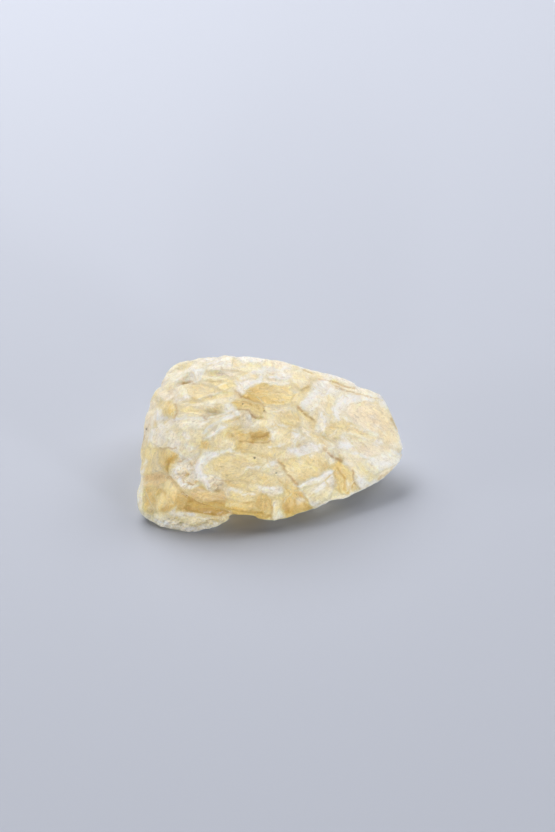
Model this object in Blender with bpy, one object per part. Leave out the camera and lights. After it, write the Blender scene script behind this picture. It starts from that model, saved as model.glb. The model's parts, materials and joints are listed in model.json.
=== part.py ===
"""A raw lump of honey calcite, as it is broken from a coarse vein.

The lump is one solid. Two rough forms give its outline: the main mass, and the foot that sticks out
under its left end. It is built up as such stone is, from crystal grains that fill it side by side.
Each grain keeps the space nearest to it and ends outside in its own flat cleavage face, so the grains
stand a little above and below each other, and the stepped ones end in a short flight of parallel faces.

Metres, +Z up, +X along the lump. The origin is under the middle of the lump, on the plane it rests on.
"""

import math
import random

import bmesh
import bpy
from mathutils import Matrix, Vector
from mathutils.bvhtree import BVHTree

MM = 0.001

# Driving dimensions: the finished lump's box.
LENGTH = 80 * MM
DEPTH = 52 * MM
HEIGHT = 34 * MM

# The display plane leans back from the vertical, square to someone looking down on the lump's front.
DISPLAY_TILT = math.radians(38)
DISPLAY_BASE = -15.4 * MM  # height in the display plane of the lump's lowest visible point

# Corners of the main mass, in millimetres: the crest and the outline of the sloping front,
# the brow between top and front, the back, and the flat underside.
MASS_OUTLINE = (
    (-30.3, 25.2, 24.2), (-27.8, 23.7, 27.7), (-22.5, 22, 30.6), (-19.5, 21.2, 32.2), (-6, 17.7, 34),
    (4, 16.6, 33), (12, 14.9, 30), (21.5, 16.2, 27.3), (26.9, 15, 24.5), (33.5, 15.5, 21.2),
    (34.9, 13.2, 20), (36.9, 9.1, 16), (39.3, 5.6, 13),
    (40.1, 1.4, 11), (39.5, -2.7, 8.6), (35.3, -6.9, 7), (29.2, -10.6, 6.4), (24.2, -13.4, 4.9),
    (18.7, -16.5, 4.7), (8.8, -20.9, 4), (1, -22.7, 3.1), (-8, -22.8, 4.9), (-12.7, -22.8, 9.4),
    (-21, -22.5, 10.4), (-27, -20, 14.1), (-30, -17.5, 18), (-36.5, -9, 18), (-38.7, -2.2, 18),
    (-37.6, 5.2, 21), (-36.6, 10.8, 22.4), (-34.8, 15.8, 23.1), (-32.9, 20.8, 24.2),
)
MASS_BROW = (
    (-30, -3, 28.5), (-14, -1, 32), (2, -2, 30.3), (16, 0.5, 26.7), (28, 3.5, 21.5),
    (-14, -9.5, 28.5), (0, -9.6, 27), (14, -7, 23),
    (-20, -15, 23.5), (-4, -15.8, 21.3), (10, -13.8, 17.8), (24, -7.2, 14.8),
)
MASS_BACK = ((-30, 27.5, 12), (-10, 27.5, 14), (10, 22, 10), (24, 18, 10), (34, 12, 10))
MASS_BASE = (
    (-34, 10, 4), (-28, 20, 0), (8, 17, 0), (18, 2, 0), (14, -6, 0), (-8, -12, 0), (-30, -6, 2),
)

# Corners of the foot: its outline on the left, the rim it stands on, and the part inside the main mass.
FOOT_OUTLINE = (
    (-39.8, -17.8, 3.4), (-39.7, -14.4, 8), (-39.2, -8.8, 13), (-39.1, -5, 15), (-38.6, -2.5, 18),
    (-37.4, 1, 19.5), (-36, 8, 12),
)
FOOT_RIM = (
    (-38.4, -19.6, 2.2), (-34.4, -22.2, 1.2), (-31.5, -24.2, 0.3), (-25, -24.5, 0), (-20.5, -24.5, 0.3),
    (-17, -23.8, 1), (-12.2, -21.8, 2.6), (-9, -19.5, 5),
)
FOOT_ROOT = (
    (-36.5, -8, 18.5), (-33.5, -12.8, 18), (-30.5, -16, 16.6), (-26, -15, 14.5), (-15, -17, 9),
    (-37, -12, 0), (-30, 8, 0), (-8, -10, 0), (0, 4, 0),
)

# Grains whose place and size are chosen, in millimetres: across and up the display plane, and reach.
# The rest of the surface is filled by seeded chance.
CHOSEN_GRAINS = (
    (-22.5, 42, 5), (-16.5, 45.5, 4), (-16, 39.5, 4), (-6.5, 45, 4), (1.5, 41.5, 7), (-6, 36, 3.5),
    (-25.5, 49, 4), (-18, 51, 4), (-30.5, 36, 3), (-24, 35.5, 4.5), (-11.5, 33.5, 3.5),
    (-16.5, 30, 3.5), (-9, 29, 3.5), (-3, 28, 4), (-26, 26, 5), (-19, 26.5, 2.5), (-34.5, 27.5, 4),
    (-31.5, 21, 3.5), (-25.5, 15.5, 4), (-36, 18.5, 3.5), (-13.5, 20, 6), (-6, 18.5, 3),
    (-2.5, 17.5, 3), (-1.5, 14.5, 3.5), (-21, 12, 3.5), (-10.5, 12, 4), (-2.5, 8.5, 3.5),
    (8, 9.5, 4.5), (1.5, 11.5, 3), (8, 19, 7), (13.5, 12, 5), (21, 16, 5), (10.5, 25, 3.5),
    (4.5, 30, 4), (12, 35, 4.5), (6, 50, 5), (-4.5, 51, 5), (18, 42, 4), (23.5, 38, 4),
    (31, 33.5, 9), (37.5, 28, 4), (25, 27.5, 5), (32.5, 20, 5), (25, 20, 4), (26.5, 14, 4),
    (19, 30.5, 4), (-36, 11, 4), (-27, 8, 5.5), (-16.5, 7.5, 4),
)

SPREAD = (1.0, 1.45, 1.45)  # grains are longer along the lump than across it, by this much
REACH = (2.6 * MM, 4.6 * MM)  # least and most reach of a grain left to chance
BACK_COARSENESS = 1.3  # grains behind and underneath are larger by this much
CROWDING = 0.82  # how near two grains' centres may come, as a share of their reaches
TRIES = 9000
GRAIN_DEPTH = 12 * MM
LEAN = math.radians(17)  # most that a cleavage face leans from the lump's general surface
LIFT = 1.0 * MM  # most that the rim of a leaning face stands above or below its middle
RELIEF = (-0.55 * MM, 0.35 * MM)
OVERLAP = 0.04 * MM  # grains are joined through this much of each other
SKIN = 0.6 * MM  # depth inside the rough forms' faces of the surface that the grains are placed on
STEPS = (1, 1, 2, 3)  # parallel faces in a grain, drawn by lot
STEP_RUN = 0.62  # distance between parallel faces, as a share of the grain's reach
STEP_RISE = 0.55 * MM
CORE_SHARE = 0.85
CORE_CENTRE = Vector((-2, 0, -3)) * MM
BOX = 70 * MM  # block that each grain is cut from

HONEY = (0.86, 0.74, 0.46, 1.0)
SURFACE_ROUGHNESS = 0.45


def clear_scene():
    for obj in list(bpy.data.objects):
        bpy.data.objects.remove(obj, do_unlink=True)


def add_object(name, shape, collection=None):
    """An object from a bmesh, which is freed."""
    bmesh.ops.recalc_face_normals(shape, faces=shape.faces)
    mesh = bpy.data.meshes.new(name)
    shape.to_mesh(mesh)
    shape.free()
    obj = bpy.data.objects.new(name, mesh)
    (collection or bpy.context.scene.collection).objects.link(obj)
    return obj


def hide(obj):
    """A guide or an operand: no part of the lump."""
    obj.hide_render = True
    obj.display_type = "WIRE"
    return obj


def rough_form(name, corners, skin=0.0):
    """The convex block with these corners, in millimetres, drawn in by skin except at its base."""
    shape = bmesh.new()
    for corner in corners:
        shape.verts.new(Vector(corner) * MM)
    made = bmesh.ops.convex_hull(shape, input=shape.verts)
    inner = [v for v in made["geom_interior"] if isinstance(v, bmesh.types.BMVert)]
    bmesh.ops.delete(shape, geom=inner, context="VERTS")
    bmesh.ops.recalc_face_normals(shape, faces=shape.faces)
    shape.normal_update()
    for vert, normal in [(v, v.normal.copy()) for v in shape.verts]:
        normal.z = max(normal.z, 0) if vert.co.z < SKIN else normal.z
        vert.co -= normal * skin
    return hide(add_object(name, shape))


def joined(first, other, operation, solver="EXACT"):
    """Adds other to first, or keeps what they share, and applies it."""
    modifier = first.modifiers.new(operation.title(), "BOOLEAN")
    modifier.operation = operation
    modifier.solver = solver
    if isinstance(other, bpy.types.Collection):
        modifier.operand_type = "COLLECTION"
        modifier.collection = other
    else:
        modifier.object = other
    graph = bpy.context.evaluated_depsgraph_get()
    mesh = bpy.data.meshes.new_from_object(first.evaluated_get(graph))
    first.modifiers.clear()
    first.data = mesh
    return first


def cut_off(shape, point, outward):
    """Cuts away what lies outside a plane, and closes the cut."""
    everything = shape.verts[:] + shape.edges[:] + shape.faces[:]
    cut = bmesh.ops.bisect_plane(
        shape, geom=everything, plane_co=point, plane_no=outward, clear_outer=True, dist=1e-7
    )
    rim = [e for e in cut["geom_cut"] if isinstance(e, bmesh.types.BMEdge)]
    if rim:
        bmesh.ops.edgeloop_fill(shape, edges=rim)


def stretched(point):
    """The point where grains have the same reach along the lump and across it."""
    return Vector(x * s for x, s in zip(point, SPREAD))


class Surface:
    """The rough lump's surface but for its flat base, for placing grains on."""

    def __init__(self, obj):
        shape = bmesh.new()
        shape.from_mesh(obj.data)
        bmesh.ops.triangulate(shape, faces=shape.faces)
        shape.normal_update()
        base = [f for f in shape.faces if f.normal.z < -0.9 and f.calc_center_median().z < MM]
        bmesh.ops.delete(shape, geom=base, context="FACES_ONLY")
        self.tree = BVHTree.FromBMesh(shape)
        self.faces = [([v.co.copy() for v in f.verts], f.normal.copy()) for f in shape.faces]
        self.areas = [f.calc_area() for f in shape.faces]
        shape.free()

    def seen_from_front(self, across, up):
        """Where a point of the display plane falls on the lump, and the surface's normal there."""
        lean = Vector((0, math.sin(DISPLAY_TILT), math.cos(DISPLAY_TILT)))
        inward = Vector((0, math.cos(DISPLAY_TILT), -math.sin(DISPLAY_TILT)))
        start = Vector((across, 0, 0)) * MM + lean * (up * MM + DISPLAY_BASE) - inward * BOX
        point, normal, _, _ = self.tree.ray_cast(start, inward)
        return point, normal

    def by_chance(self, rng):
        (a, b, c), normal = rng.choices(self.faces, weights=self.areas)[0]
        u, v = sorted((rng.random(), rng.random()))
        return a * u + b * (v - u) + c * (1 - v), normal


def place_grains(surface, rng):
    """(centre, outward normal, reach) of each grain: the chosen ones, and then as many as find room."""
    grains = []
    for across, up, reach in CHOSEN_GRAINS:
        point, normal = surface.seen_from_front(across, up)
        if point:
            grains.append((point, normal, reach * MM))
    for _ in range(TRIES):
        point, normal = surface.by_chance(rng)
        reach = rng.uniform(*REACH) * (BACK_COARSENESS if normal.y > 0.3 or normal.z < 0 else 1)
        here = stretched(point)
        if all((stretched(p) - here).length > CROWDING * (r + reach) for p, _, r in grains):
            grains.append((point, normal, reach))
    return grains


def cleavage_faces(grain, rng):
    """(centre, reach, a point of the face, its normal) for each parallel face of a grain."""
    point, normal, reach = grain
    lean = min(LEAN, LIFT / reach) * rng.uniform(0.3, 1)
    lean_axis = normal.cross(Vector((rng.gauss(0, 1), rng.gauss(0, 1), rng.gauss(0, 1)))).normalized()
    face_normal = Matrix.Rotation(lean, 3, lean_axis) @ normal
    count = rng.choice(STEPS)
    run = face_normal.cross(Vector((rng.gauss(0, 0.4), rng.gauss(0, 1), rng.gauss(0, 1)))).normalized()
    height = rng.uniform(*RELIEF)
    rise = STEP_RISE * rng.choice((-1, 1))
    faces = []
    for step in range(count):
        place = step - (count - 1) / 2
        centre = point + run * (place * STEP_RUN * reach)
        faces.append((centre, reach, point + face_normal * (height + place * rise), face_normal))
    return faces


def crystal(faces, index, inward):
    """The block of stone nearest to one cleavage face, cut off by it."""
    centre, reach, face_point, face_normal = faces[index]
    here = stretched(centre)
    shape = bmesh.new()
    bmesh.ops.create_cube(shape, size=BOX, matrix=Matrix.Translation(here))
    for other, other_reach, _, _ in sorted(faces, key=lambda f: (stretched(f[0]) - here).length)[1:45]:
        away = stretched(other) - here
        share = (away.length_squared + reach**2 - other_reach**2) / (2 * away.length_squared)
        cut_off(shape, here + away * share + away.normalized() * OVERLAP, away)
        if not shape.faces:
            break
    for vert in shape.verts:
        vert.co = Vector(x / s for x, s in zip(vert.co, SPREAD))
    if shape.faces:
        cut_off(shape, face_point, face_normal)
    if shape.faces:
        cut_off(shape, centre + inward * GRAIN_DEPTH, inward)
    return shape


def add_crystals(surface, rng):
    """Every grain's blocks, as operands in one collection."""
    collection = bpy.data.collections.new("grains")
    bpy.context.scene.collection.children.link(collection)
    collection.hide_render = True
    faces, inwards = [], []
    for grain in place_grains(surface, rng):
        steps = cleavage_faces(grain, rng)
        faces += steps
        inwards += [-grain[1]] * len(steps)
    for index, inward in enumerate(inwards):
        shape = crystal(faces, index, inward)
        if shape.faces:
            hide(add_object(f"grain_{index:03d}", shape, collection))
        else:
            shape.free()
    return collection


def shrunk(obj, name):
    """The stone inside the grains."""
    core = bpy.data.objects.new(name, obj.data.copy())
    bpy.context.scene.collection.objects.link(core)
    for vert in core.data.vertices:
        vert.co = CORE_CENTRE + (vert.co - CORE_CENTRE) * CORE_SHARE
    return core


def fit_to_size(obj):
    """Scales the lump to its driving dimensions, and puts the origin under its middle."""
    points = [v.co for v in obj.data.vertices]
    low = Vector(min(p[i] for p in points) for i in range(3))
    high = Vector(max(p[i] for p in points) for i in range(3))
    origin = Vector(((low.x + high.x) / 2, (low.y + high.y) / 2, low.z))
    scale = Matrix.Diagonal([d / s for d, s in zip((LENGTH, DEPTH, HEIGHT), high - low)]).to_4x4()
    obj.data.transform(scale @ Matrix.Translation(-origin))


def calcite_material():
    material = bpy.data.materials.new("honey_calcite")
    material.use_nodes = True
    shader = material.node_tree.nodes["Principled BSDF"]
    shader.inputs["Base Color"].default_value = HONEY
    shader.inputs["Roughness"].default_value = SURFACE_ROUGHNESS
    shader.inputs["Metallic"].default_value = 0.0
    return material


def main():
    clear_scene()
    rng = random.Random(11)
    mass_corners = MASS_OUTLINE + MASS_BROW + MASS_BACK + MASS_BASE
    foot_corners = FOOT_OUTLINE + FOOT_RIM + FOOT_ROOT
    limit = joined(rough_form("limit", mass_corners), rough_form("limit_foot", foot_corners), "UNION")
    skin = joined(
        rough_form("skin", mass_corners, SKIN), rough_form("skin_foot", foot_corners, SKIN), "UNION"
    )
    lump = shrunk(skin, "calcite")
    joined(lump, add_crystals(Surface(skin), rng), "UNION")
    joined(lump, limit, "INTERSECT", solver="MANIFOLD")  # EXACT leaves open edges between thin steps
    fit_to_size(lump)
    lump.data.materials.clear()
    lump.data.materials.append(calcite_material())


main()
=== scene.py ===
"""A raw lump of honey calcite on a pale floor, laid out as a Blender add-on and run as a script."""

import json
import math
import random

import bpy
import numpy as np
from mathutils import Matrix, Vector, noise
from mathutils.bvhtree import BVHTree

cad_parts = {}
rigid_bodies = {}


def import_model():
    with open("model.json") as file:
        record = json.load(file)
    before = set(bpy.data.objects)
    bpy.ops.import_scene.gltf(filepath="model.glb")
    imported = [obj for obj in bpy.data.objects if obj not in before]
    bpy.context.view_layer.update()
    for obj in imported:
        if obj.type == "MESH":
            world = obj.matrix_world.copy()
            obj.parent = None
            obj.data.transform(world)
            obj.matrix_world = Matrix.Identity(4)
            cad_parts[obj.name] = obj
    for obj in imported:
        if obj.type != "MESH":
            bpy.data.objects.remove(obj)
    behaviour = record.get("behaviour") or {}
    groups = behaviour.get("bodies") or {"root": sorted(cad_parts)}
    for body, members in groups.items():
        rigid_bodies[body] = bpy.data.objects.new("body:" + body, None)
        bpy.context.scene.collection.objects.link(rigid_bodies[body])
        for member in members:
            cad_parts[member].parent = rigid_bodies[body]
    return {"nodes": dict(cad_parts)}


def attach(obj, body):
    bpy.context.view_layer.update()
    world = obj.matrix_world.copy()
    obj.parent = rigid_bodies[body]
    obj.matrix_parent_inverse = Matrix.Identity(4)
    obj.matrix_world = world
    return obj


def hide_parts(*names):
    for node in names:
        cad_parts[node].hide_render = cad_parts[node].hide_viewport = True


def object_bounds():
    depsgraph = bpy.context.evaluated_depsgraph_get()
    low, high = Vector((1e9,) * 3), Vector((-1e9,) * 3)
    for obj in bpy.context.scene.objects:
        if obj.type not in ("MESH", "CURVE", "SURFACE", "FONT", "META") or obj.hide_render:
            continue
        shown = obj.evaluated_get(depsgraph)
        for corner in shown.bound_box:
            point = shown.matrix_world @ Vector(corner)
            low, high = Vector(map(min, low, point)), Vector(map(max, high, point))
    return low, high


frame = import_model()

bl_info = {
    "name": "Raw calcite",
    "version": (1, 0, 0),
    "blender": (4, 5, 0),
    "location": "3D View > Sidebar > Calcite",
    "description": "Dresses the calcite lump with its fine surface and finish, and sets its stage",
    "category": "Object",
}

MM = 0.001
CAD_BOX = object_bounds()

# The view that the lump is arranged for. Drawn lines are in its pixels, x to the right, y down.
VIEW_WIDTH, VIEW_HEIGHT = 555, 832
VIEW_LENS = 85.0
VIEW_SENSOR = 36.0
VIEW_ELEVATION = math.radians(38)
VIEW_TARGET = Vector((1.75, 3.6, 20.8)) * MM
VIEW_DISTANCE = 586 * MM
VIEW_SIDE = Vector((1, 0, 0))
VIEW_UP = Vector((0, math.sin(VIEW_ELEVATION), math.cos(VIEW_ELEVATION)))
VIEW_BACK = Vector((0, -math.cos(VIEW_ELEVATION), math.sin(VIEW_ELEVATION)))
VIEW_EYE = VIEW_TARGET + VIEW_BACK * VIEW_DISTANCE

# What each kind of crystal looks like: depth of honey colour, frosting, share of white flecks,
# blush, and how softly it passes into its neighbours, in pixels.
KINDS = {
    "milk": (0.24, 0.55, 0.76, 0.0, 3.0),
    "crumb": (0.38, 1.00, 0.36, 0.45, 2.6),
    "cream": (0.31, 0.35, 0.46, 0.0, 3.0),
    "pale": (0.42, 0.15, 0.20, 0.0, 2.6),
    "honey": (0.56, 0.05, 0.08, 0.0, 2.2),
    "gold": (0.72, 0.08, 0.08, 0.0, 2.0),
    "amber": (0.90, 0.12, 0.06, 0.0, 1.6),
    "beige": (0.40, 0.15, 0.18, 0.9, 2.2),
    # painted shade: a darker, greyer amber for the shade under the crumb hump and under the ledge
    "shaded_amber": (0.84, 0.20, 0.06, 0.4, 2.0),
    "tan": (0.60, 0.15, 0.12, 0.8, 2.0),
}

# The front's crystals: kind, direction of its cleavage lines in degrees, outline.
CRYSTALS = (
    ("cream", 10, ((156, 388), (162, 375), (170, 366), (178, 358), (205, 351), (232, 356),
        (232, 371), (222, 372), (205, 370), (199, 372), (199, 381), (180, 382), (168, 380))),
    ("milk", 20, ((204, 356), (220, 357), (223, 364), (212, 366), (205, 363))),
    ("milk", 80, ((190, 369), (200, 368), (199, 381), (186, 381))),
    ("pale", 0, ((232, 358), (250, 361), (262, 366), (258, 373), (240, 372), (232, 371))),
    ("milk", 5, ((236, 356), (252, 353), (266, 357), (262, 363), (244, 362))),
    ("beige", -5, ((272, 361), (288, 361), (289, 367), (274, 368))),
    ("milk", 0, ((258, 369), (272, 367), (274, 374), (262, 375))),
    ("cream", -5, ((274, 368), (292, 366), (292, 380), (276, 381), (262, 376))),
    ("pale", -30, ((292, 370), (303, 369), (311, 373), (312, 384), (300, 390), (292, 382))),
    ("pale", -15, ((200, 372), (208, 370), (222, 372), (231, 379), (221, 382), (210, 380),
        (200, 381))),
    ("honey", -15, ((210, 380), (222, 382), (231, 379), (236, 386), (222, 391), (212, 386))),
    ("honey", -8, ((182, 383), (200, 382), (212, 387), (221, 391), (206, 398), (201, 400),
        (191, 399), (185, 391))),
    ("pale", 25, ((200, 400), (206, 398), (222, 391), (233, 391), (238, 398), (228, 402),
        (212, 406), (202, 404))),
    ("beige", 0, ((158, 388), (176, 390), (178, 401), (166, 400), (158, 402))),
    ("cream", 80, ((176, 386), (184, 384), (190, 399), (178, 401))),
    ("honey", 70, ((160, 402), (166, 400), (175, 404), (176, 412), (173, 418), (163, 413))),
    ("pale", 0, ((177, 401), (200, 401), (208, 406), (196, 407), (178, 407))),
    ("honey", 0, ((179, 408), (190, 406), (200, 408), (209, 412), (203, 417), (178, 417))),
    ("milk", 60, ((155, 411), (161, 410), (164, 416), (169, 419), (163, 421), (164, 428),
        (156, 427))),
    ("cream", 20, ((172, 418), (203, 417), (208, 421), (203, 428), (188, 431), (176, 429))),
    ("cream", 15, ((208, 411), (222, 412), (240, 409), (241, 416), (224, 420), (209, 418))),
    ("pale", 15, ((205, 430), (222, 419), (240, 417), (236, 424), (220, 427), (208, 434))),
    ("cream", 38, ((200, 434), (222, 421), (228, 426), (218, 433), (209, 441))),
    ("pale", 40, ((189, 433), (200, 433), (204, 441), (200, 450), (191, 446))),
    ("gold", 60, ((200, 442), (207, 440), (212, 446), (207, 450), (200, 449))),
    ("honey", 85, ((213, 438), (226, 428), (240, 425), (242, 436), (238, 450), (226, 449),
        (214, 446))),
    ("beige", 85, ((149, 400), (156, 398), (155, 420), (151, 438), (146, 438), (146, 416))),
    ("cream", 60, ((150, 428), (170, 428), (178, 436), (176, 448), (158, 447), (150, 442))),
    ("cream", 60, ((176, 432), (190, 431), (192, 447), (200, 452), (184, 458), (177, 452))),
    ("milk", 25, ((236, 383), (248, 378), (262, 378), (263, 382), (250, 388), (243, 395),
        (236, 391))),
    ("cream", -5, ((262, 378), (291, 381), (291, 385), (275, 385), (262, 382))),
    ("gold", -12, ((250, 387), (262, 382), (276, 385), (291, 385), (294, 395), (292, 404),
        (279, 406), (263, 403), (252, 400), (241, 397), (244, 392))),
    ("gold", -15, ((230, 404), (240, 398), (250, 401), (263, 405), (266, 409), (263, 414),
        (257, 417), (253, 415), (249, 410), (238, 409))),
    ("gold", 80, ((257, 405), (264, 406), (265, 411), (259, 412))),
    ("honey", 30, ((293, 393), (300, 391), (304, 397), (301, 404), (296, 405), (292, 400))),
    ("pale", -20, ((265, 406), (280, 407), (296, 406), (290, 412), (276, 414), (266, 412))),
    ("honey", -40, ((280, 412), (290, 410), (298, 411), (303, 421), (294, 426), (281, 421))),
    ("pale", 70, ((240, 411), (250, 411), (257, 417), (266, 412), (276, 416), (278, 424),
        (266, 428), (250, 428), (241, 424))),
    ("milk", 75, ((246, 414), (251, 414), (254, 426), (250, 426))),
    ("honey", -40, ((297, 407), (304, 410), (312, 417), (316, 424), (312, 431), (305, 427),
        (300, 419))),
    ("milk", 30, ((301, 403), (310, 393), (322, 386), (327, 390), (322, 404), (312, 411),
        (304, 408))),
    ("milk", -30, ((312, 388), (318, 380), (326, 381), (327, 388), (318, 394), (311, 396))),
    ("pale", -45, ((318, 396), (328, 393), (336, 397), (336, 410), (328, 416), (318, 408))),
    ("pale", -22, ((304, 370), (330, 374), (360, 387), (384, 394), (384, 400), (362, 397),
        (340, 391), (318, 380), (306, 376))),
    ("cream", -20, ((330, 374), (343, 376), (352, 381), (362, 388), (356, 388), (340, 381))),
    ("milk", 40, ((336, 401), (345, 394), (358, 396), (361, 401), (350, 404), (344, 409),
        (341, 419), (335, 421), (334, 408))),
    ("milk", 30, ((360, 396), (371, 395), (374, 401), (362, 402))),
    ("milk", 0, ((377, 392), (385, 394), (387, 401), (385, 408), (378, 402))),
    ("pale", -40, ((303, 421), (312, 431), (322, 436), (318, 444), (306, 436), (298, 428))),
    ("cream", 80, ((318, 410), (330, 414), (331, 428), (324, 434), (317, 424))),
    ("tan", -35, ((350, 404), (366, 401), (378, 403), (386, 408), (392, 417), (398, 428),
        (388, 432), (376, 434), (362, 428), (352, 420), (344, 412))),
    ("tan", -50, ((388, 430), (398, 427), (403, 438), (404, 448), (396, 448), (386, 444),
        (378, 438), (380, 433))),
    ("honey", -15, ((332, 421), (343, 420), (358, 426), (364, 432), (378, 438), (372, 442),
        (356, 436), (342, 434), (330, 440), (322, 438), (327, 430))),
    ("pale", -30, ((310, 432), (324, 437), (332, 446), (324, 450), (312, 442))),
    ("beige", -35, ((340, 436), (356, 437), (372, 442), (390, 447), (400, 450), (396, 456),
        (380, 453), (366, 458), (352, 450), (342, 450))),
    ("milk", -10, ((338, 441), (350, 439), (354, 446), (346, 450), (339, 448))),
    ("gold", 5, ((226, 430), (240, 428), (253, 431), (254, 441), (244, 448), (236, 450),
        (238, 440))),
    ("amber", 8, ((251, 432), (260, 430), (268, 432), (271, 437), (267, 441), (253, 441))),
    ("honey", -10, ((254, 442), (268, 441), (273, 449), (262, 454), (248, 452))),
    ("pale", 50, ((268, 428), (280, 424), (292, 428), (300, 436), (292, 444), (278, 446),
        (271, 438))),
    ("milk", 60, ((292, 431), (300, 430), (303, 440), (296, 446), (290, 441))),
    ("milk", -15, ((288, 450), (300, 446), (312, 443), (322, 446), (318, 452), (301, 457),
        (292, 455))),
    ("honey", -35, ((280, 464), (285, 459), (300, 458), (318, 452), (326, 458), (322, 474),
        (308, 482), (293, 481), (285, 472))),
    ("cream", 30, ((294, 486), (306, 482), (322, 473), (334, 470), (336, 486), (330, 498),
        (314, 508), (306, 500), (298, 492))),
    ("cream", -35, ((324, 448), (334, 452), (346, 464), (340, 462), (330, 466), (326, 458))),
    ("gold", -65, ((332, 464), (340, 460), (347, 466), (353, 473), (354, 483), (360, 490),
        (350, 495), (340, 492), (336, 480))),
    ("pale", 25, ((330, 498), (338, 493), (350, 495), (360, 489), (350, 498), (334, 504),
        (316, 509))),
    ("pale", -40, ((336, 452), (352, 450), (366, 458), (372, 466), (368, 478), (358, 480),
        (350, 468), (342, 460))),
    ("cream", -35, ((366, 460), (380, 453), (396, 455), (402, 452), (400, 462), (388, 468),
        (376, 474), (366, 468))),
    ("milk", 60, ((356, 478), (364, 478), (370, 484), (362, 489), (356, 486))),
    ("tan", 30, ((378, 474), (390, 468), (400, 462), (398, 471), (384, 480), (377, 480))),
    ("gold", -60, ((286, 484), (293, 482), (303, 493), (309, 503), (314, 510), (300, 515),
        (286, 517), (281, 508), (283, 497))),
    ("tan", -40, ((295, 498), (303, 497), (307, 503), (298, 505))),
    ("cream", 70, ((272, 498), (281, 500), (281, 508), (285, 517), (274, 521), (270, 512))),
    ("gold", 80, ((257, 496), (263, 491), (271, 498), (272, 510), (262, 512), (254, 506))),
    ("milk", 0, ((260, 488), (272, 485), (282, 487), (283, 494), (270, 496), (262, 493))),
    ("honey", 3, ((246, 474), (262, 472), (276, 477), (285, 483), (270, 486), (250, 483),
        (238, 480))),
    ("cream", 15, ((250, 469), (262, 465), (274, 459), (281, 466), (286, 476), (276, 476),
        (262, 471))),
    ("honey", 0, ((212, 461), (222, 455), (236, 452), (250, 453), (262, 456), (272, 458),
        (262, 465), (248, 470), (238, 480), (224, 476), (214, 470))),
    ("gold", 0, ((212, 458), (220, 456), (222, 463), (214, 464))),
    ("honey", 10, ((226, 478), (238, 480), (250, 484), (246, 490), (230, 489), (222, 484))),
    ("pale", 15, ((228, 490), (240, 488), (256, 492), (254, 501), (240, 503), (230, 498))),
    ("crumb", 40, ((176, 463), (182, 457), (190, 458), (197, 464), (201, 472), (202, 482),
        (196, 488), (184, 490), (175, 484), (172, 474))),
    ("milk", 55, ((204, 453), (226, 449), (222, 455), (208, 461), (203, 466), (204, 474),
        (210, 480), (207, 490), (200, 482), (195, 472), (197, 461))),
    ("crumb", 30, ((208, 474), (222, 478), (226, 486), (214, 492), (207, 488))),
    # painted shade under the crumb hump
    ("shaded_amber", 10, ((186, 491), (198, 486), (210, 491), (224, 491), (226, 501), (206, 502),
        (193, 499))),
    ("honey", 5, ((226, 499), (240, 503), (256, 503), (258, 510), (244, 512), (230, 509))),
    ("amber", -3, ((228, 509), (244, 512), (262, 512), (270, 516), (262, 520), (246, 517),
        (232, 518))),
    ("gold", 75, ((158, 450), (170, 449), (178, 455), (180, 459), (172, 464), (170, 473),
        (163, 471), (159, 462))),
    ("amber", 60, ((166, 458), (176, 456), (170, 464), (168, 472), (164, 468))),
    ("honey", 85, ((140, 448), (158, 448), (159, 462), (162, 472), (148, 476), (139, 474))),
    # painted shade under the ledge, at the top of the left recess
    ("shaded_amber", 30, ((138, 476), (150, 474), (163, 472), (171, 476), (166, 484), (152, 486),
        (138, 490))),
    ("honey", 60, ((138, 490), (152, 486), (162, 488), (166, 500), (160, 512), (148, 514),
        (138, 508))),
    ("honey", 70, ((164, 484), (171, 476), (181, 489), (178, 504), (170, 511), (160, 512),
        (166, 500))),
    ("gold", -20, ((178, 490), (190, 496), (200, 502), (192, 512), (176, 511), (176, 500))),
    # painted shade: the recess under the ledge drawn in deep amber, over the stone's own honey
    ("amber", 0, ((188, 500), (204, 502), (222, 503), (231, 509), (230, 517), (214, 515),
        (196, 513), (184, 509))),
    ("crumb", 5, ((156, 519), (172, 516), (190, 517), (214, 517), (230, 512), (232, 516),
        (219, 524), (205, 531), (170, 534), (158, 528))),
    ("cream", 80, ((137, 508), (150, 514), (158, 520), (156, 527), (141, 518))),
    ("cream", 85, ((134, 468), (144, 470), (144, 490), (143, 512), (134, 508))),
)
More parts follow.
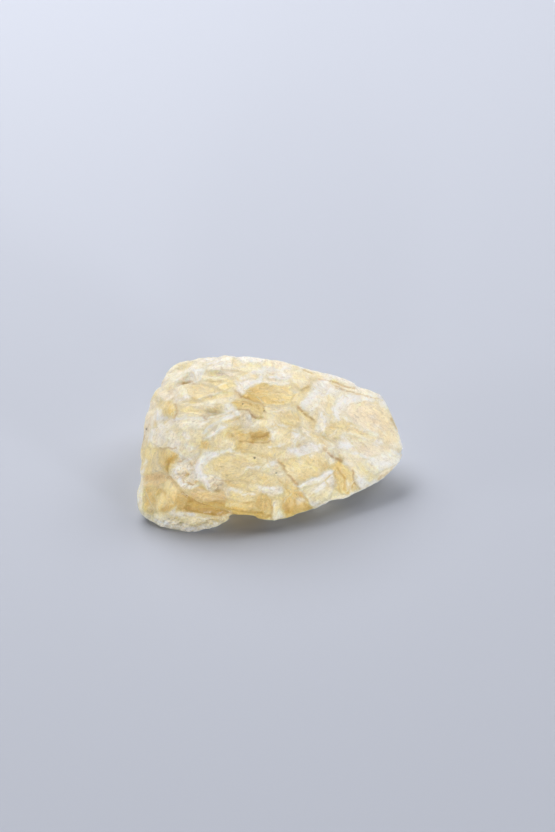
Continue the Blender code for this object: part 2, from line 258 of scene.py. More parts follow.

# Veins of milk, and bright rims painted as highlights: width in pixels, and the line.
VEINS_AND_RIM_HIGHLIGHTS = (
    # painted highlight along the top rim
    (2.2, ((170, 366), (180, 359), (190, 356), (200, 352), (208, 350), (220, 353))),
    (2.6, ((195, 370), (203, 368), (200, 378))),
    (1.1, ((183, 381), (199, 380))),
    (1.4, ((200, 399), (210, 395), (221, 391))),
    (1.1, ((216, 388), (226, 383))),
    (1.1, ((174, 412), (176, 418))),
    (2.2, ((157, 409), (158, 420), (160, 427))),
    (1.4, ((160, 424), (169, 428))),
    (1.6, ((161, 418), (167, 418))),
    (1.6, ((172, 419), (186, 418), (200, 417), (208, 420))),
    (1.3, ((198, 427), (208, 419))),
    (2.2, ((203, 433), (212, 424), (222, 420))),
    (1.6, ((208, 438), (219, 430), (227, 426))),
    (1.3, ((208, 413), (222, 414), (231, 411))),
    (2.2, ((222, 418), (233, 417))),
    (2.6, ((150, 434), (150, 440))),
    (2.4, ((246, 385), (256, 381), (262, 378))),
    (2.2, ((232, 357), (240, 355), (250, 353), (256, 356), (266, 358), (280, 360), (290, 361))),
    (3.2, ((240, 378), (250, 375), (260, 371), (266, 368), (273, 369))),
    (2.2, ((290, 362), (296, 363), (303, 368))),
    (1.2, ((274, 370), (288, 368))),
    (1.2, ((266, 377), (280, 379), (292, 377))),
    (1.8, ((250, 415), (252, 425))),
    (2.8, ((232, 410), (239, 414))),
    (4.5, ((302, 407), (310, 400), (316, 393), (322, 385), (326, 381))),
    (2.2, ((266, 427), (272, 431), (273, 438))),
    (2.0, ((278, 425), (287, 426))),
    (3.0, ((293, 430), (298, 435))),
    (2.6, ((322, 413), (326, 426))),
    (2.6, ((330, 374), (342, 376), (350, 379), (360, 386))),
    (2.6, ((374, 390), (383, 392), (387, 398), (386, 408))),
    (1.3, ((322, 396), (330, 392), (339, 390))),
    (4.2, ((334, 408), (342, 400), (352, 396), (359, 398))),
    (2.6, ((336, 411), (340, 420))),
    (1.6, ((343, 417), (349, 421))),
    (2.6, ((364, 396), (374, 400))),
    (1.1, ((350, 425), (361, 429))),
    (1.6, ((395, 427), (399, 434), (403, 448))),
    (1.1, ((322, 429), (326, 437))),
    (1.1, ((330, 436), (337, 430))),
    (3.4, ((342, 443), (351, 446))),
    (2.4, ((352, 453), (360, 455), (370, 459))),
    (3.8, ((370, 460), (380, 463), (389, 464))),
    (2.8, ((391, 450), (398, 454))),
    (2.0, ((355, 470), (361, 479))),
    (2.8, ((309, 480), (320, 478), (333, 471))),
    (3.8, ((318, 490), (328, 481))),
    (1.8, ((294, 484), (300, 488), (307, 482))),
    (1.1, ((299, 488), (304, 494), (310, 499))),
    (1.1, ((316, 507), (330, 503), (345, 499), (358, 492), (367, 488))),
    (3.6, ((288, 450), (300, 449), (312, 447), (322, 446))),
    (2.2, ((299, 455), (305, 454))),
    (2.8, ((247, 468), (258, 467), (268, 466), (277, 462))),
    (2.8, ((260, 487), (274, 488))),
    (2.8, ((230, 489), (241, 492))),
    (2.0, ((242, 494), (255, 494))),
    (2.0, ((231, 451), (239, 453))),
    (1.8, ((268, 447), (281, 446))),
    (2.4, ((200, 464), (206, 458), (213, 455), (222, 452), (230, 449))),
    (3.4, ((197, 464), (199, 472), (205, 478), (208, 484), (212, 490))),
    (2.0, ((174, 470), (184, 461), (192, 458))),
    (1.8, ((173, 469), (178, 477), (182, 482))),
    (2.4, ((180, 482), (188, 486), (197, 486))),
    (2.6, ((142, 472), (146, 460))),
    (1.6, ((139, 455), (138, 480), (138, 502))),
    (1.3, ((204, 513), (210, 512))),
    (1.3, ((217, 514), (223, 511))),
    (1.8, ((178, 527), (190, 530), (197, 528))),
    (2.0, ((157, 520), (167, 524))),
    (1.2, ((158, 529), (170, 532), (185, 531), (202, 530))),
)

# Seams and deep lines between crystals, and a few painted shadow lines under overhanging edges:
# width in pixels, and the line.
SEAMS_AND_SHADOW_LINES = (
    (1.0, ((183, 383), (196, 383))),
    # painted shadow under the overhanging edge of the big honey crystal
    (1.4, ((235, 390), (240, 396), (250, 399), (258, 402), (265, 405))),
    (1.0, ((264, 405), (263, 409), (266, 412))),
    (1.0, ((239, 409), (248, 410), (255, 417))),
    (1.0, ((242, 401), (252, 404))),
    (1.1, ((303, 370), (312, 373))),
    (1.1, ((318, 379), (330, 381), (346, 386), (356, 388))),
    (1.1, ((335, 387), (345, 390), (356, 393), (370, 397), (379, 399))),
    (1.1, ((201, 416), (206, 419))),
    (1.6, ((252, 437), (261, 436), (269, 433))),
    (1.2, ((239, 441), (250, 442), (262, 443), (271, 441))),
    (1.3, ((298, 407), (306, 415), (315, 421))),
    (1.4, ((279, 461), (286, 471), (291, 478), (298, 485))),
    (1.8, ((323, 447), (332, 456), (342, 461))),
    (1.0, ((221, 481), (232, 481))),
    (1.0, ((184, 483), (192, 485), (196, 482))),
    # painted shadow under the ledge, above the recess
    (2.4, ((169, 478), (176, 486), (184, 493), (192, 500), (202, 503), (215, 503), (224, 503))),
    (1.4, ((269, 499), (272, 510), (271, 519))),
    (1.2, ((337, 468), (346, 479), (343, 488))),
    (1.1, ((353, 470), (354, 483), (361, 490))),
    # painted shade on the underside of the right end
    (2.2, ((379, 479), (393, 470))),
    (1.8, ((392, 418), (398, 428))),
    (1.8, ((144, 436), (140, 447))),
    (1.0, ((176, 404), (177, 412), (174, 418))),
    (1.0, ((160, 448), (175, 448))),
    (1.2, ((168, 461), (168, 474))),
)

# Small dark inclusions: x, y, radius, in pixels.
SPECKS = ((254.5, 458, 1.1), (276, 473, 0.8), (146.5, 429, 0.9), (243, 404, 0.8), (264, 411, 0.7))

# Where parts of the front begin and are full, in pixels, and the honey and white that each adds:
# the low rows deeper in honey and less white as painted shade, the top rows paler and whiter as
# painted light, the right side paler and whiter.
LOW_ROWS, LOW_PAINTED_SHADE = (465, 515), (0.20, -0.08)
RIGHT_COLUMNS, RIGHT_TINT = (310, 350), (-0.09, 0.12)
TOP_ROWS, TOP_PAINTED_LIGHT = (405, 370), (-0.10, 0.12)
TOP_COLUMNS = ((215, 240), (192, 176))
PATCH_SIZE, PATCH_TINT = 3.5 * MM, (-0.06, 0.14)

# Crystals behind and underneath are of these kinds, by chance.
CHANCE_KINDS = ("milk", "cream", "cream", "pale", "pale", "pale", "beige", "honey", "honey", "gold")
WANDER = ((2.4 * MM, 1.4), (0.9 * MM, 0.7))  # size of outlines' wobbles, their reach in pixels
STEP_LIMIT = 0.24 * MM  # most that the front's facets are cut into the lump or built up
RISE_LIMIT = 0.25 * MM  # most that any point rises above the solid's worn faces
EASING = 24  # turns of smoothing that wear the solid's facets down
FEWEST_POINTS = 12  # a crystal that holds fewer is left out
VEIN_RISE, SEAM_DEPTH = 0.10 * MM, 0.25 * MM
VEIN_REACH, SEAM_REACH = 0.95, 1.25  # where a stroke fades out, in shares of its width
CRUMB_SIZE, RIPPLE_SIZE = 1.5 * MM, 1.4 * MM
RIM_GAPS, VEIN_GAPS = 1.6 * MM, 0.9 * MM  # size of the gaps in pale rims and in veins
MOTTLE_SCALE, GRIT_SCALE = 420.0, 1900.0  # fine noise of the finish, in waves per metre
BUMP_DEPTH = 0.3 * MM
CALCITE_IOR = 1.57
SHARPEST_SMOOTH_EDGE = math.radians(40)

# The lights: setting with the power in watts, place and edge length in metres.
LIGHTS = (
    ("key", (-0.3, 0.55, 0.7), 0.7),
    ("high", (0.7, 0.5, 0.9), 0.8),
    ("side", (-1.2, -0.3, 0.15), 0.28),
    ("front", (-0.1, -1.3, 0.12), 0.22),
    ("slant", (0.9, -0.9, 0.12), 0.22),
)
LIGHT_COLOUR = (1.0, 0.965, 0.94)
LIGHT_AIM = (0.0, 0.0, 0.01)
FLOOR_SIZE = 4.0


class CalciteLump(bpy.types.PropertyGroup):
    """Sizes and colours of the lump's surface."""

    voxel: bpy.props.FloatProperty(
        name="Grain of the mesh", description="Size of the surface's small squares",
        default=0.39 * MM, min=0.3 * MM, precision=5, unit="LENGTH",
    )
    crumble: bpy.props.FloatProperty(
        name="Crumble", description="Depth of the crumbled, frosted places",
        default=1.0 * MM, precision=5, unit="LENGTH",
    )
    ripple: bpy.props.FloatProperty(
        name="Ripple", description="Depth of the ripples on smooth cleavage faces",
        default=0.06 * MM, precision=5, unit="LENGTH",
    )
    milk: bpy.props.FloatVectorProperty(
        name="Milk", description="Colour of the milky crystals",
        default=(0.98, 0.935, 0.85), size=3, subtype="COLOR",
    )
    cream: bpy.props.FloatVectorProperty(
        name="Cream", description="Colour of the cream crystals",
        default=(0.94, 0.86, 0.675), size=3, subtype="COLOR",
    )
    pale: bpy.props.FloatVectorProperty(
        name="Pale honey", description="Colour of the palest clear crystals",
        default=(0.905, 0.795, 0.54), size=3, subtype="COLOR",
    )
    honey: bpy.props.FloatVectorProperty(
        name="Honey", description="Colour of the clear honey crystals",
        default=(0.865, 0.73, 0.40), size=3, subtype="COLOR",
    )
    gold: bpy.props.FloatVectorProperty(
        name="Gold", description="Colour of the deep honey crystals",
        default=(0.81, 0.625, 0.27), size=3, subtype="COLOR",
    )
    amber: bpy.props.FloatVectorProperty(
        name="Amber", description="Colour in the deepest places",
        default=(0.62, 0.43, 0.135), size=3, subtype="COLOR",
    )
    blush: bpy.props.FloatVectorProperty(
        name="Blush", description="Colour of the pinkish beige crystals",
        default=(0.915, 0.79, 0.625), size=3, subtype="COLOR",
    )
    glow: bpy.props.FloatProperty(
        name="Glow", description="How far light travels inside the stone",
        default=7 * MM, precision=4, unit="LENGTH",
    )


class CalciteStage(bpy.types.PropertyGroup):
    """The floor, the light and the view."""

    floor: bpy.props.FloatVectorProperty(
        name="Floor", description="Colour of the floor",
        default=(0.525, 0.572, 0.673), size=3, subtype="COLOR",
    )
    key: bpy.props.FloatProperty(
        name="Key light", description="Power of the light above, behind and to the left",
        default=8.8, unit="POWER",
    )
    high: bpy.props.FloatProperty(
        name="High light", description="Power of the soft light above, behind and to the right",
        default=6.8, unit="POWER",
    )
    side: bpy.props.FloatProperty(
        name="Side light", description="Power of the soft light on the left",
        default=4.0, unit="POWER",
    )
    front: bpy.props.FloatProperty(
        name="Front light", description="Power of the low light in front",
        default=6.4, unit="POWER",
    )
    slant: bpy.props.FloatProperty(
        name="Slanting light", description="Power of the low light in front on the right",
        default=9.0, unit="POWER",
    )
    sky: bpy.props.FloatProperty(
        name="Sky", description="Strength of the even light from all round", default=0.02,
    )


def seen(points):
    """Where points, an (n, 3) array in metres, fall in the view, in pixels."""
    away = points - np.array(VIEW_EYE)
    depth = away @ -np.array(VIEW_BACK)
    focal = VIEW_LENS / VIEW_SENSOR * max(VIEW_WIDTH, VIEW_HEIGHT)
    across = VIEW_WIDTH / 2 + focal * (away @ np.array(VIEW_SIDE)) / depth
    down = VIEW_HEIGHT / 2 - focal * (away @ np.array(VIEW_UP)) / depth
    return np.stack((across, down), axis=1)


def smooth(low, high, value):
    """0 at low and 1 at high, with a soft start and end."""
    share = np.clip((value - low) / (high - low), 0, 1)
    return share * share * (3 - 2 * share)


def cloud(points, size, seed=0.0, octaves=2):
    """Smooth noise of about -1 to 1 at each point, with features of this size in metres."""
    shift = Vector((seed * 7.1, seed * 3.7, seed * 11.3))
    return np.array([noise.fractal(Vector(p) / size + shift, 1.0, 2.0, octaves) for p in points])


def line_distance(places, line, closed=False):
    """Distance from each place in the view to a line of corners."""
    corners = np.array(line, float)
    ends = np.roll(corners, -1, axis=0) if closed else corners[1:]
    starts = corners if closed else corners[:-1]
    nearest = np.full(len(places), 1e9)
    for start, end in zip(starts, ends):
        run = end - start
        share = np.clip((places - start) @ run / (run @ run), 0, 1)
        away = np.linalg.norm(places - start - share[:, None] * run, axis=1)
        nearest = np.minimum(nearest, away)
    return nearest


def depth_inside(places, outline):
    """Distance inside an outline in the view: positive inside it, negative outside."""
    x, y = places[:, 0], places[:, 1]
    inside = np.zeros(len(places), bool)
    for (x0, y0), (x1, y1) in zip(outline, outline[1:] + outline[:1]):
        if y0 != y1:
            crosses = ((y0 > y) != (y1 > y)) & (x < (x1 - x0) * (y - y0) / (y1 - y0) + x0)
            inside ^= crosses
    return np.where(inside, 1, -1) * line_distance(places, outline, closed=True)


class Skin:
    """The lump's fine surface as arrays: points, normals, edges, and what is painted on them."""

    def __init__(self, obj):
        mesh = obj.data
        count = len(mesh.vertices)
        self.mesh = mesh
        self.points = np.zeros(count * 3)
        mesh.vertices.foreach_get("co", self.points)
        self.points = self.points.reshape(-1, 3)
        self.edges = np.zeros(len(mesh.edges) * 2, np.int64)
        mesh.edges.foreach_get("vertices", self.edges)
        self.edges = self.edges.reshape(-1, 2)
        self.degree = np.bincount(self.edges.ravel(), minlength=count)
        self.read_normals()

    def read_normals(self):
        self.normals = np.zeros(len(self.points) * 3)
        self.mesh.vertices.foreach_get("normal", self.normals)
        self.normals = self.normals.reshape(-1, 3)

    def write_points(self):
        self.mesh.vertices.foreach_set("co", self.points.astype(np.float32).ravel())
        self.mesh.update()
        self.read_normals()

    def spread(self, values):
        """The mean of each point's neighbours."""
        first, second = self.edges.T
        total = np.zeros_like(values)
        np.add.at(total, first, values[second])
        np.add.at(total, second, values[first])
        return total / self.degree.reshape((-1,) + (1,) * (values.ndim - 1))

    def curve(self):
        """How sharply the surface bends at each point: positive on ridges, negative in valleys."""
        first, second = self.edges.T
        run = self.points[second] - self.points[first]
        run /= np.linalg.norm(run, axis=1)[:, None]
        total = np.zeros(len(self.points))
        np.add.at(total, first, -(run * self.normals[first]).sum(1))
        np.add.at(total, second, (run * self.normals[second]).sum(1))
        return total / self.degree

    def paint(self, name, values):
        if values.ndim == 1:
            layer = self.mesh.attributes.new(name, "FLOAT", "POINT")
            layer.data.foreach_set("value", values.astype(np.float32))
        else:
            layer = self.mesh.attributes.new(name, "FLOAT_VECTOR", "POINT")
            layer.data.foreach_set("vector", values.astype(np.float32).ravel())


def fine_copy(node, voxel):
    """A merged copy of the lump's solid with an even, fine mesh."""
    bpy.ops.object.select_all(action="DESELECT")
    node.select_set(True)
    bpy.context.view_layer.objects.active = node
    bpy.ops.object.duplicate()
    piece = bpy.context.active_object
    bpy.ops.object.parent_clear(type="CLEAR_KEEP_TRANSFORM")
    for key in [k for k in piece.keys() if k.startswith("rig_")]:
        del piece[key]
    piece.name = "calcite_lump"
    piece.data.name = "calcite_lump"
    piece.data.materials.clear()
    bpy.ops.object.mode_set(mode="EDIT")
    bpy.ops.mesh.select_all(action="SELECT")
    bpy.ops.mesh.remove_doubles(threshold=1e-6)
    bpy.ops.object.mode_set(mode="OBJECT")
    corners = [v.co.copy() for v in piece.data.vertices]
    merged = BVHTree.FromPolygons(corners, [tuple(p.vertices) for p in piece.data.polygons])
    normals = [p.normal.copy() for p in piece.data.polygons]
    remesh = piece.modifiers.new("Remesh", "REMESH")
    remesh.mode = "VOXEL"
    remesh.voxel_size = voxel
    remesh.adaptivity = 0.0
    bpy.ops.object.modifier_apply(modifier=remesh.name)
    return piece, merged, normals


def settle(skin, merged, normals):
    """Puts the fine points back on the solid's flat faces. Returns the face's normal at each."""
    face_normals = np.zeros_like(skin.points)
    for index, point in enumerate(skin.points):
        place, _, face, _ = merged.find_nearest(Vector(point))
        skin.points[index] = place
        face_normals[index] = normals[face]
    skin.write_points()
    return face_normals


def random_direction(rng):
    """A direction by chance, all equally likely."""
    return Vector((rng.gauss(0, 1), rng.gauss(0, 1), rng.gauss(0, 1))).normalized()


def chance_look(face_normals, points):
    """Kind values and cleavage lines for each point from the crystal face that it lies on."""
    keys = [tuple(k) for k in np.round(face_normals * 60).astype(int)]
    looks = np.zeros((len(points), 4))
    lines = np.zeros((len(points), 3))
    drawn = {}
    for key in sorted(set(keys)):
        rng = random.Random(hash(key))
        normal = Vector(key).normalized()
        along = normal.cross(random_direction(rng)).normalized()
        tone, frost, white, blush, _ = KINDS[rng.choice(CHANCE_KINDS)]
        look = tone + rng.uniform(-0.08, 0.08), frost, white, blush
        drawn[key] = look, along, normal.cross(along)
    for index, key in enumerate(keys):
        look, along, over = drawn[key]
        looks[index] = look
        point = points[index] / MM
        lines[index] = np.dot(point, along), np.dot(point, over), look[0] * 37
    return looks, lines


def lay_crystals(points, places, face_normals, faced, looks, lines):
    """Lays the drawn crystals over the front, each with its own look, cleavage lines and flat face.

    Changes lines. Returns the looks, the outlines' pale rims (frosted borders, partly painted edge
    highlights), and each point's move outward.
    """
    front = smooth(0.0, 0.15, faced)
    nearby = smooth(-0.5, -0.25, faced)
    facing = smooth(0.25, 0.65, faced)
    unbroken = np.clip(0.5 + 1.2 * cloud(points, RIM_GAPS, 8), 0, 1)
    side, up = np.array(VIEW_SIDE), np.array(VIEW_UP)
    rng = random.Random(5)
    veil = np.zeros(len(points))
    move = np.zeros(len(points))
    for kind, angle, outline in CRYSTALS:
        inside = depth_inside(places, outline)
        tone, frost, white, blush, soft = KINDS[kind]
        share = smooth(-soft, soft, inside) * nearby
        chosen = share > 0.5
        turn = Matrix.Rotation(math.radians(rng.uniform(2, 6)), 3, random_direction(rng))
        level = rng.uniform(-0.15, 0.10) * MM
        slope = np.array(random_direction(rng)) * rng.uniform(0.05, 0.14)
        tone += rng.uniform(-0.04, 0.04)
        if chosen.sum() < FEWEST_POINTS:
            continue
        held = points[chosen]
        middle = held.mean(0)
        own = np.tile((tone, frost, white, blush), (len(points), 1))
        own[:, 0] += np.clip((points - middle) @ slope / (4 * MM), -0.2, 0.2)
        looks = looks * (1 - share[:, None]) + own * share[:, None]
        # pale rim along each outline: frosted borders, partly painted edge highlights
        rim = smooth(2.6, 0.2, np.abs(inside - 0.6)) * front * unbroken
        veil = np.maximum(veil * (1 - share), rim)
        direction = math.radians(angle)
        along = side * math.cos(direction) + up * math.sin(direction)
        over = -side * math.sin(direction) + up * math.cos(direction)
        shift = np.full(len(held), angle * 0.37)
        lines[chosen] = np.stack((held @ along / MM, held @ over / MM, shift), 1)
        if frost < 0.5:
            spread = held - middle
            _, _, axes = np.linalg.svd(spread.T @ spread)
            normal = axes[2] * np.sign(axes[2] @ face_normals[chosen].mean(0))
            height = (points - middle) @ np.array(turn @ Vector(normal))
            wanted = np.clip(level - height, -STEP_LIMIT, STEP_LIMIT)
            flat = smooth(-0.6, 1.2, inside) * facing
            move = move * (1 - flat) + wanted * flat
        else:
            move = move * (1 - 0.6 * share)
    return looks, veil, move


def tint_with_painted_shade_and_light(looks, points, places, faced):
    """Makes parts of the front deeper in honey or whiter, and all of the lump a little patchy: the
    low rows deeper as painted shade, the top rows whiter as painted light.
    """
    nearby = smooth(-0.5, -0.25, faced)
    columns, rows = places.T
    # painted shade: the low rows of the front deeper in honey and less white
    low = smooth(*LOW_ROWS, rows) * nearby
    right = smooth(*RIGHT_COLUMNS, columns) * nearby
    # painted light: the top rows paler and whiter, away from the middle columns
    top_painted_light = smooth(*TOP_ROWS, rows) * sum(smooth(*ends, columns) for ends in TOP_COLUMNS) * nearby
    patch = cloud(points, PATCH_SIZE, 12)
    milky = looks[:, 2] > 0.1
    for share, (honey, white) in ((low, LOW_PAINTED_SHADE), (right, RIGHT_TINT), (top_painted_light, TOP_PAINTED_LIGHT)):
        looks[:, 0] += honey * share
        looks[:, 2] += white * share
    looks[:, 0] += PATCH_TINT[0] * patch
    looks[:, 2] += PATCH_TINT[1] * patch * milky


def strokes(places, table, reach):
    """How much each place is on one of a table's drawn lines, from 0 to 1."""
    drawn = np.zeros(len(places))
    for width, line in table:
        away = line_distance(places, line)
        drawn = np.maximum(drawn, smooth(width * reach, width * 0.2, away))
    return drawn


def dress(skin, face_normals, props):
    """Shapes the fine surface, and paints what the material reads."""
    points = skin.points
    looks, lines = chance_look(face_normals, points)
    sight = np.array(VIEW_EYE) - points
    sight /= np.linalg.norm(sight, axis=1)[:, None]
    faced = (sight * face_normals).sum(1)
    front = smooth(0.0, 0.15, faced)
    for _ in range(EASING):
        points += (skin.spread(points) - points) * 0.5
        looks += (skin.spread(looks) - looks) * 0.6
    places = seen(points)
    for turn, (size, reach) in enumerate(WANDER):
        sway = [cloud(points, size, 2 * turn + 1), cloud(points, size, 2 * turn + 2)]
        places = places + reach * np.stack(sway, 1)

    looks, veil, move = lay_crystals(points, places, face_normals, faced, looks, lines)
    tint_with_painted_shade_and_light(looks, points, places, faced)
    points += skin.normals * np.minimum(move, RISE_LIMIT)[:, None]
    points += (skin.spread(points) - points) * 0.5
    skin.write_points()

    ridge = skin.curve()
    for _ in range(3):
        ridge = 0.4 * ridge + 0.6 * skin.spread(ridge)
    tone, frost, white, blush = looks.T
    cloudy = np.clip(1.45 - 1.7 * tone, 0, 1)
    edge = smooth(0.05, 0.25, ridge) * cloudy
    # valleys between facets, which the finish paints deeper in honey as shade
    hollow = smooth(0.05, 0.3, -ridge)
    rough = np.clip(frost + 0.5 * edge, 0, 1)
    crumbs = cloud(points, CRUMB_SIZE, 3, 3)
    ripples = cloud(lines * MM * np.array((0.25, 1.0, 1.0)), RIPPLE_SIZE, 4, 2)
    points -= skin.normals * (
        rough ** 2 * props.crumble * np.clip(0.35 + 0.9 * crumbs, 0, 1.2)
        + (1 - rough) * props.ripple * np.clip(0.5 + ripples, 0, 1)
    )[:, None]

    seam = strokes(places, SEAMS_AND_SHADOW_LINES, SEAM_REACH) * front
    torn = np.clip(0.75 + 0.7 * cloud(points, VEIN_GAPS, 21), 0, 1)
    vein = strokes(places, VEINS_AND_RIM_HIGHLIGHTS, VEIN_REACH) * torn * front
    points += skin.normals * (VEIN_RISE * vein - SEAM_DEPTH * seam)[:, None]
    np.clip(points, *np.array(CAD_BOX), out=points)
    skin.write_points()

    speck = np.zeros(len(points))
    straight = seen(points)
    for x, y, radius in SPECKS:
        away = np.hypot(*(straight - (x, y)).T)
        speck = np.maximum(speck, smooth(radius * 1.4, radius * 0.5, away))
    skin.paint("tone", tone)
    skin.paint("frost", frost)
    skin.paint("white", white)
    skin.paint("blush", blush)
    skin.paint("veil", np.clip(0.45 * veil * cloudy + 0.2 * edge, 0, 1))
    skin.paint("hollow", hollow)
    skin.paint("seam", seam)
    skin.paint("vein", vein)
    skin.paint("speck", speck * front)
    skin.paint("cleavage", lines)


class Web:
    """Adds nodes to a tree from left to right."""

    def __init__(self, tree):
        self.tree = tree
        self.count = 0

    def node(self, kind, settings=None, **inputs):
        """A node; settings are its own values, inputs are socket values or sockets to link."""
        made = self.tree.nodes.new(kind)
        made.location = (180 * (self.count % 12), -260 * (self.count // 12))
        self.count += 1
        for name, value in (settings or {}).items():
            setattr(made, name, value)
        for name, value in inputs.items():
            self.feed(made.inputs[name.replace("_", " ")], value)
        return made

    def feed(self, socket, value):
        if isinstance(value, bpy.types.NodeSocket):
            self.tree.links.new(value, socket)
        else:
            socket.default_value = value

    def math(self, operation, *values, clamp=False):
        made = self.node("ShaderNodeMath", {"operation": operation, "use_clamp": clamp})
        for socket, value in zip(made.inputs, values):
            self.feed(socket, value)
        return made.outputs[0]

    def total(self, start, *terms, clamp=False):
        """start plus value times weight for each (value, weight), clamped at the end."""
        for index, (value, weight) in enumerate(terms, 1):
            last = index == len(terms)
            start = self.math("MULTIPLY_ADD", value, weight, start, clamp=clamp and last)
        return start

    def centred(self, value):
        """Noise of 0 to 1, about zero."""
        return self.math("SUBTRACT", value, 0.5)

    def vector(self, operation, *values):
        made = self.node("ShaderNodeVectorMath", {"operation": operation})
        for socket, value in zip(made.inputs, values):
            self.feed(socket, value)
        return made.outputs["Value" if operation == "DOT_PRODUCT" else "Vector"]

    def mix(self, share, first, second, blend="MIX"):
        made = self.node("ShaderNodeMix", {"data_type": "RGBA", "blend_type": blend})
        for index, value in ((0, share), (6, first), (7, second)):
            if index and isinstance(value, (tuple, list)):
                value = (*value[:3], 1.0)
            self.feed(made.inputs[index], value)
        return made.outputs[2]

    def value(self, name):
        return self.node("ShaderNodeAttribute", {"attribute_name": name}).outputs["Fac"]

    def ramp(self, share, stops):
        made = self.node("ShaderNodeValToRGB", Fac=share)
        while len(made.color_ramp.elements) < len(stops):
            made.color_ramp.elements.new(1.0)
        for element, (place, colour) in zip(made.color_ramp.elements, stops):
            element.position = place
            element.color = (*colour, 1.0)
        return made.outputs["Color"]


def calcite_finish(props):
    """The stone: milky to amber crystals, feathery cleavage lines, frosted edges, a deep glow, with
    painted glints, painted facet shade and painted shade in the hollows.
    """
    material = bpy.data.materials.new("calcite_finish")
    material.use_nodes = True
    web = Web(material.node_tree)
    shader = material.node_tree.nodes["Principled BSDF"]
    place = web.node("ShaderNodeTexCoord").outputs["Object"]
    lines = web.node("ShaderNodeAttribute", {"attribute_name": "cleavage"}).outputs["Vector"]
    tone, frost, white = web.value("tone"), web.value("frost"), web.value("white")
    blush, veil, hollow = web.value("blush"), web.value("veil"), web.value("hollow")
    seam, vein, speck = web.value("seam"), web.value("vein"), web.value("speck")

    def streaks(scale, seed, detail, roughness, distortion):
        """Noise drawn out along the cleavage lines, from 0 to 1 about a middle of a half."""
        spot = web.node(
            "ShaderNodeMapping", Vector=lines, Scale=scale, Location=(seed, seed, seed)
        ).outputs[0]
        return web.node(
            "ShaderNodeTexNoise", Vector=spot, Scale=1.0, Detail=detail, Roughness=roughness,
            Distortion=distortion,
        ).outputs["Fac"]

    def grain(scale, detail, roughness):
        """Noise that is the same in all directions."""
        return web.node(
            "ShaderNodeTexNoise", Vector=place, Scale=scale, Detail=detail, Roughness=roughness
        ).outputs["Fac"]

    feather = streaks((0.14, 0.6, 1.0), 0.0, 1.5, 0.5, 0.4)
    hair = streaks((0.8, 2.2, 1.0), 7.0, 3.0, 0.6, 0.5)
    mottle = grain(MOTTLE_SCALE, 1.5, 0.5)
    grit = grain(GRIT_SCALE, 3.0, 0.65)
    swirl = web.node("ShaderNodeTexNoise", Vector=lines, Scale=0.35, Detail=2.0).outputs["Color"]
    bent = web.vector("MULTIPLY_ADD", swirl, (2.6, 2.6, 0.0), lines)

    def cells(scale, seed):
        """Crystal cells along the cleavage lines: a chance value, the border, the tilted face."""
        spot = web.node(
            "ShaderNodeMapping", Vector=bent, Scale=scale, Location=(seed, seed, seed)
        ).outputs[0]
        first, second = (
            web.node(
                "ShaderNodeTexVoronoi", {"distance": "MANHATTAN", "feature": feature},
                Vector=spot, Scale=1.0,
            )
            for feature in ("F1", "F2")
        )
        chance = web.vector("SUBTRACT", first.outputs["Color"], (0.5, 0.5, 0.5))
        gap = web.math("SUBTRACT", second.outputs["Distance"], first.outputs["Distance"])
        border = web.math("MULTIPLY_ADD", gap, -6.0, 1.0, clamp=True)
        inward = web.vector("SUBTRACT", spot, first.outputs["Position"])
        tilt = web.vector("DOT_PRODUCT", inward, chance)
        return web.node("ShaderNodeSeparateXYZ", Vector=chance).outputs[0], border, tilt

    block, _, block_tilt = cells((0.20, 0.40, 1.0), 3.0)
    chip, chip_border, chip_tilt = cells((0.6, 1.2, 1.0), 11.0)
    shard, shard_border, shard_tilt = cells((1.5, 2.8, 1.0), 5.0)

    lively = web.total(0.2, (white, 0.7))
    change = web.total(web.centred(feather), (web.centred(mottle), 0.5))
    # honey depth: deeper in the hollows as painted shade, paler on the rims
    depth = web.total(
        tone, (change, lively), (block, 0.14), (chip, 0.04), (hollow, 0.15), (veil, -0.30),
        clamp=True,
    )
    colour = web.ramp(depth, (
        (0.0, props.cream), (0.22, props.cream), (0.40, props.pale), (0.62, props.honey),
        (0.80, props.gold), (1.0, props.amber),
    ))
    colour = web.mix(web.math("MULTIPLY", blush, 0.7), colour, tuple(props.blush))
    # the pale rims also whiten the colour: frosted borders, partly painted edge highlights
    flecks = web.total(
        web.math("ADD", mottle, feather), (veil, 0.15), (block, -0.20), (white, 0.80), (vein, 0.30)
    )
    flecks = web.math("MULTIPLY", web.math("SUBTRACT", flecks, 1.24), 1.7, clamp=True)
    colour = web.mix(flecks, colour, tuple(props.milk))

    rasp = web.total(0.7, (frost, 0.6))
    # painted facet shade: each crystal cell a little lighter or darker at random, standing in for
    # facets turned to the light, with lighter cell borders, over fine grain
    fine = web.total(0.0, (web.centred(hair), 0.5), (web.centred(grit), 0.5), (shard, 0.22))
    grain_and_facet_shade = web.total(
        0.955, (fine, rasp), (chip, 0.20), (block, 0.15), (chip_border, 0.08), (shard_border, 0.08)
    )
    colour = web.mix(0.8, colour, grain_and_facet_shade, "MULTIPLY")
    # veins and rims lightened after the shading: milk veins, and on the rims painted highlights
    silk = web.math("MULTIPLY_ADD", hair, 1.6, -0.3, clamp=True)
    colour = web.mix(web.math("MULTIPLY", vein, silk), colour, (1.0, 0.975, 0.92))
    # painted glints: sparse bright flecks mixed into the colour as painted highlights, most on rims
    # and frosted places
    painted_glint = web.math("MULTIPLY", web.math("SUBTRACT", grit, 0.58), 7.0, clamp=True)
    painted_glint = web.math("MULTIPLY", painted_glint, web.total(0.2, (veil, 0.5), (frost, 0.45)), clamp=True)
    colour = web.mix(painted_glint, colour, (1.0, 0.985, 0.95))
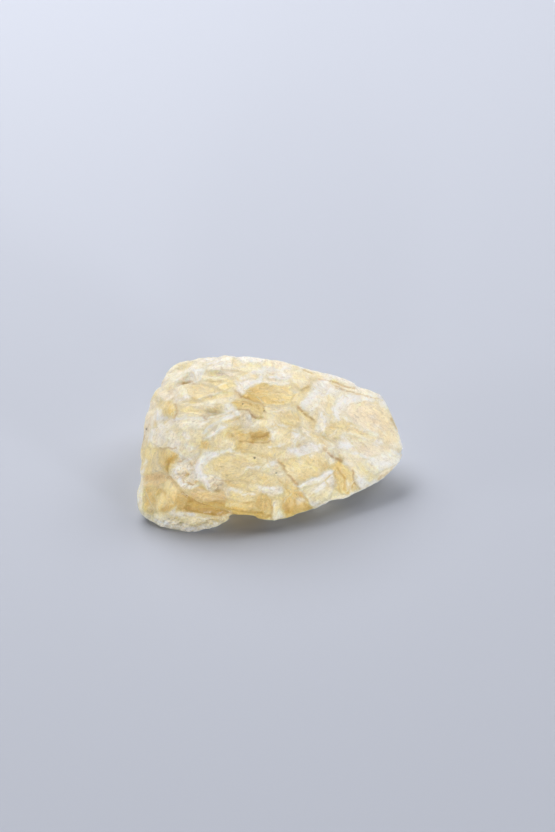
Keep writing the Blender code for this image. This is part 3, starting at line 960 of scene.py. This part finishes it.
    # seams darkened to brown: dark joints between crystals, and painted shadow along the
    # overhanging edges
    colour = web.mix(web.math("MULTIPLY", seam, 0.5), colour, (0.56, 0.38, 0.13))
    colour = web.mix(web.math("MULTIPLY", speck, 0.9), colour, (0.03, 0.022, 0.015))
    web.feed(shader.inputs["Base Color"], colour)

    gloss = web.total(
        0.40, (frost, 0.25), (veil, 0.15), (web.centred(mottle), 0.25), clamp=True
    )
    web.feed(shader.inputs["Roughness"], gloss)

    height = web.total(
        0.0, (grit, web.total(0.25, (frost, 0.9))), (hair, 0.3), (feather, 0.4),
        (block_tilt, 2.6), (chip_tilt, 1.2), (shard_tilt, 0.8),
    )
    bump = web.node("ShaderNodeBump", Height=height, Strength=1.0, Distance=BUMP_DEPTH)
    web.feed(shader.inputs["Normal"], bump.outputs["Normal"])

    shader.inputs["IOR"].default_value = CALCITE_IOR
    shader.inputs["Specular IOR Level"].default_value = 0.35
    shader.subsurface_method = "RANDOM_WALK"
    shader.inputs["Subsurface Weight"].default_value = 0.9
    shader.inputs["Subsurface Radius"].default_value = (1.0, 0.9, 0.75)
    shader.inputs["Subsurface Scale"].default_value = props.glow
    return material


class CALCITE_OT_lump(bpy.types.Operator):
    """Makes the lump's fine surface and its finish, in place of the plain solid"""

    bl_idname = "calcite.lump"
    bl_label = "Calcite lump"

    def execute(self, context):
        props = context.scene.calcite_lump
        piece, merged, normals = fine_copy(frame["nodes"]["calcite"], props.voxel)
        skin = Skin(piece)
        dress(skin, settle(skin, merged, normals), props)
        bpy.ops.object.shade_smooth_by_angle(angle=SHARPEST_SMOOTH_EDGE)
        piece.data.materials.append(calcite_finish(props))
        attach(piece, "root")
        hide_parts("calcite")
        return {"FINISHED"}


def area_light(name, place, size, power):
    """A square light that faces the lump."""
    bpy.ops.object.light_add(type="AREA", location=place)
    lamp = bpy.context.active_object
    lamp.name = name
    lamp.data.size = size
    lamp.data.energy = power
    lamp.data.color = LIGHT_COLOUR
    lamp.rotation_mode = "QUATERNION"
    lamp.rotation_quaternion = (Vector(LIGHT_AIM) - Vector(place)).to_track_quat("-Z", "Y")


class CALCITE_OT_stage(bpy.types.Operator):
    """Sets the floor, the soft light and the camera"""

    bl_idname = "calcite.stage"
    bl_label = "Stage"

    def execute(self, context):
        props = context.scene.calcite_stage
        bpy.ops.object.select_all(action="DESELECT")
        bpy.ops.mesh.primitive_plane_add(size=FLOOR_SIZE, location=(0, 0, 0))
        floor = context.active_object
        floor.name = "floor"
        finish = bpy.data.materials.new("floor_finish")
        finish.use_nodes = True
        shader = finish.node_tree.nodes["Principled BSDF"]
        shader.inputs["Base Color"].default_value = (*props.floor, 1.0)
        shader.inputs["Roughness"].default_value = 0.7
        shader.inputs["Specular IOR Level"].default_value = 0.2
        floor.data.materials.append(finish)

        for name, place, size in LIGHTS:
            area_light(name + "_light", place, size, getattr(props, name))
        world = bpy.data.worlds.new("studio")
        context.scene.world = world
        world.use_nodes = True
        sky = world.node_tree.nodes["Background"]
        sky.inputs["Color"].default_value = (1.0, 1.0, 1.0, 1.0)
        sky.inputs["Strength"].default_value = props.sky

        camera_data = bpy.data.cameras.new("view")
        camera_data.lens = VIEW_LENS
        camera_data.sensor_width = VIEW_SENSOR
        camera = bpy.data.objects.new("view", camera_data)
        context.scene.collection.objects.link(camera)
        camera.location = VIEW_EYE
        camera.rotation_mode = "QUATERNION"
        camera.rotation_quaternion = (-VIEW_BACK).to_track_quat("-Z", "Y")
        context.scene.camera = camera
        context.scene.view_settings.view_transform = "Standard"
        return {"FINISHED"}


class CALCITE_PT_panel(bpy.types.Panel):
    """Lists the lump's and the stage's settings"""

    bl_idname = "CALCITE_PT_panel"
    bl_label = "Raw calcite"
    bl_space_type = "VIEW_3D"
    bl_region_type = "UI"
    bl_category = "Calcite"

    def draw(self, context):
        for props, operator in (
            (context.scene.calcite_lump, "calcite.lump"),
            (context.scene.calcite_stage, "calcite.stage"),
        ):
            for name in props.bl_rna.properties.keys():
                if name not in ("rna_type", "name"):
                    self.layout.prop(props, name)
            self.layout.operator(operator)


CLASSES = (CalciteLump, CalciteStage, CALCITE_OT_lump, CALCITE_OT_stage, CALCITE_PT_panel)


def register():
    for cls in CLASSES:
        bpy.utils.register_class(cls)
    bpy.types.Scene.calcite_lump = bpy.props.PointerProperty(type=CalciteLump)
    bpy.types.Scene.calcite_stage = bpy.props.PointerProperty(type=CalciteStage)


def unregister():
    del bpy.types.Scene.calcite_stage
    del bpy.types.Scene.calcite_lump
    for cls in reversed(CLASSES):
        bpy.utils.unregister_class(cls)


def main():
    register()
    bpy.ops.calcite.lump()
    bpy.ops.calcite.stage()


if __name__ == "__main__":
    main()
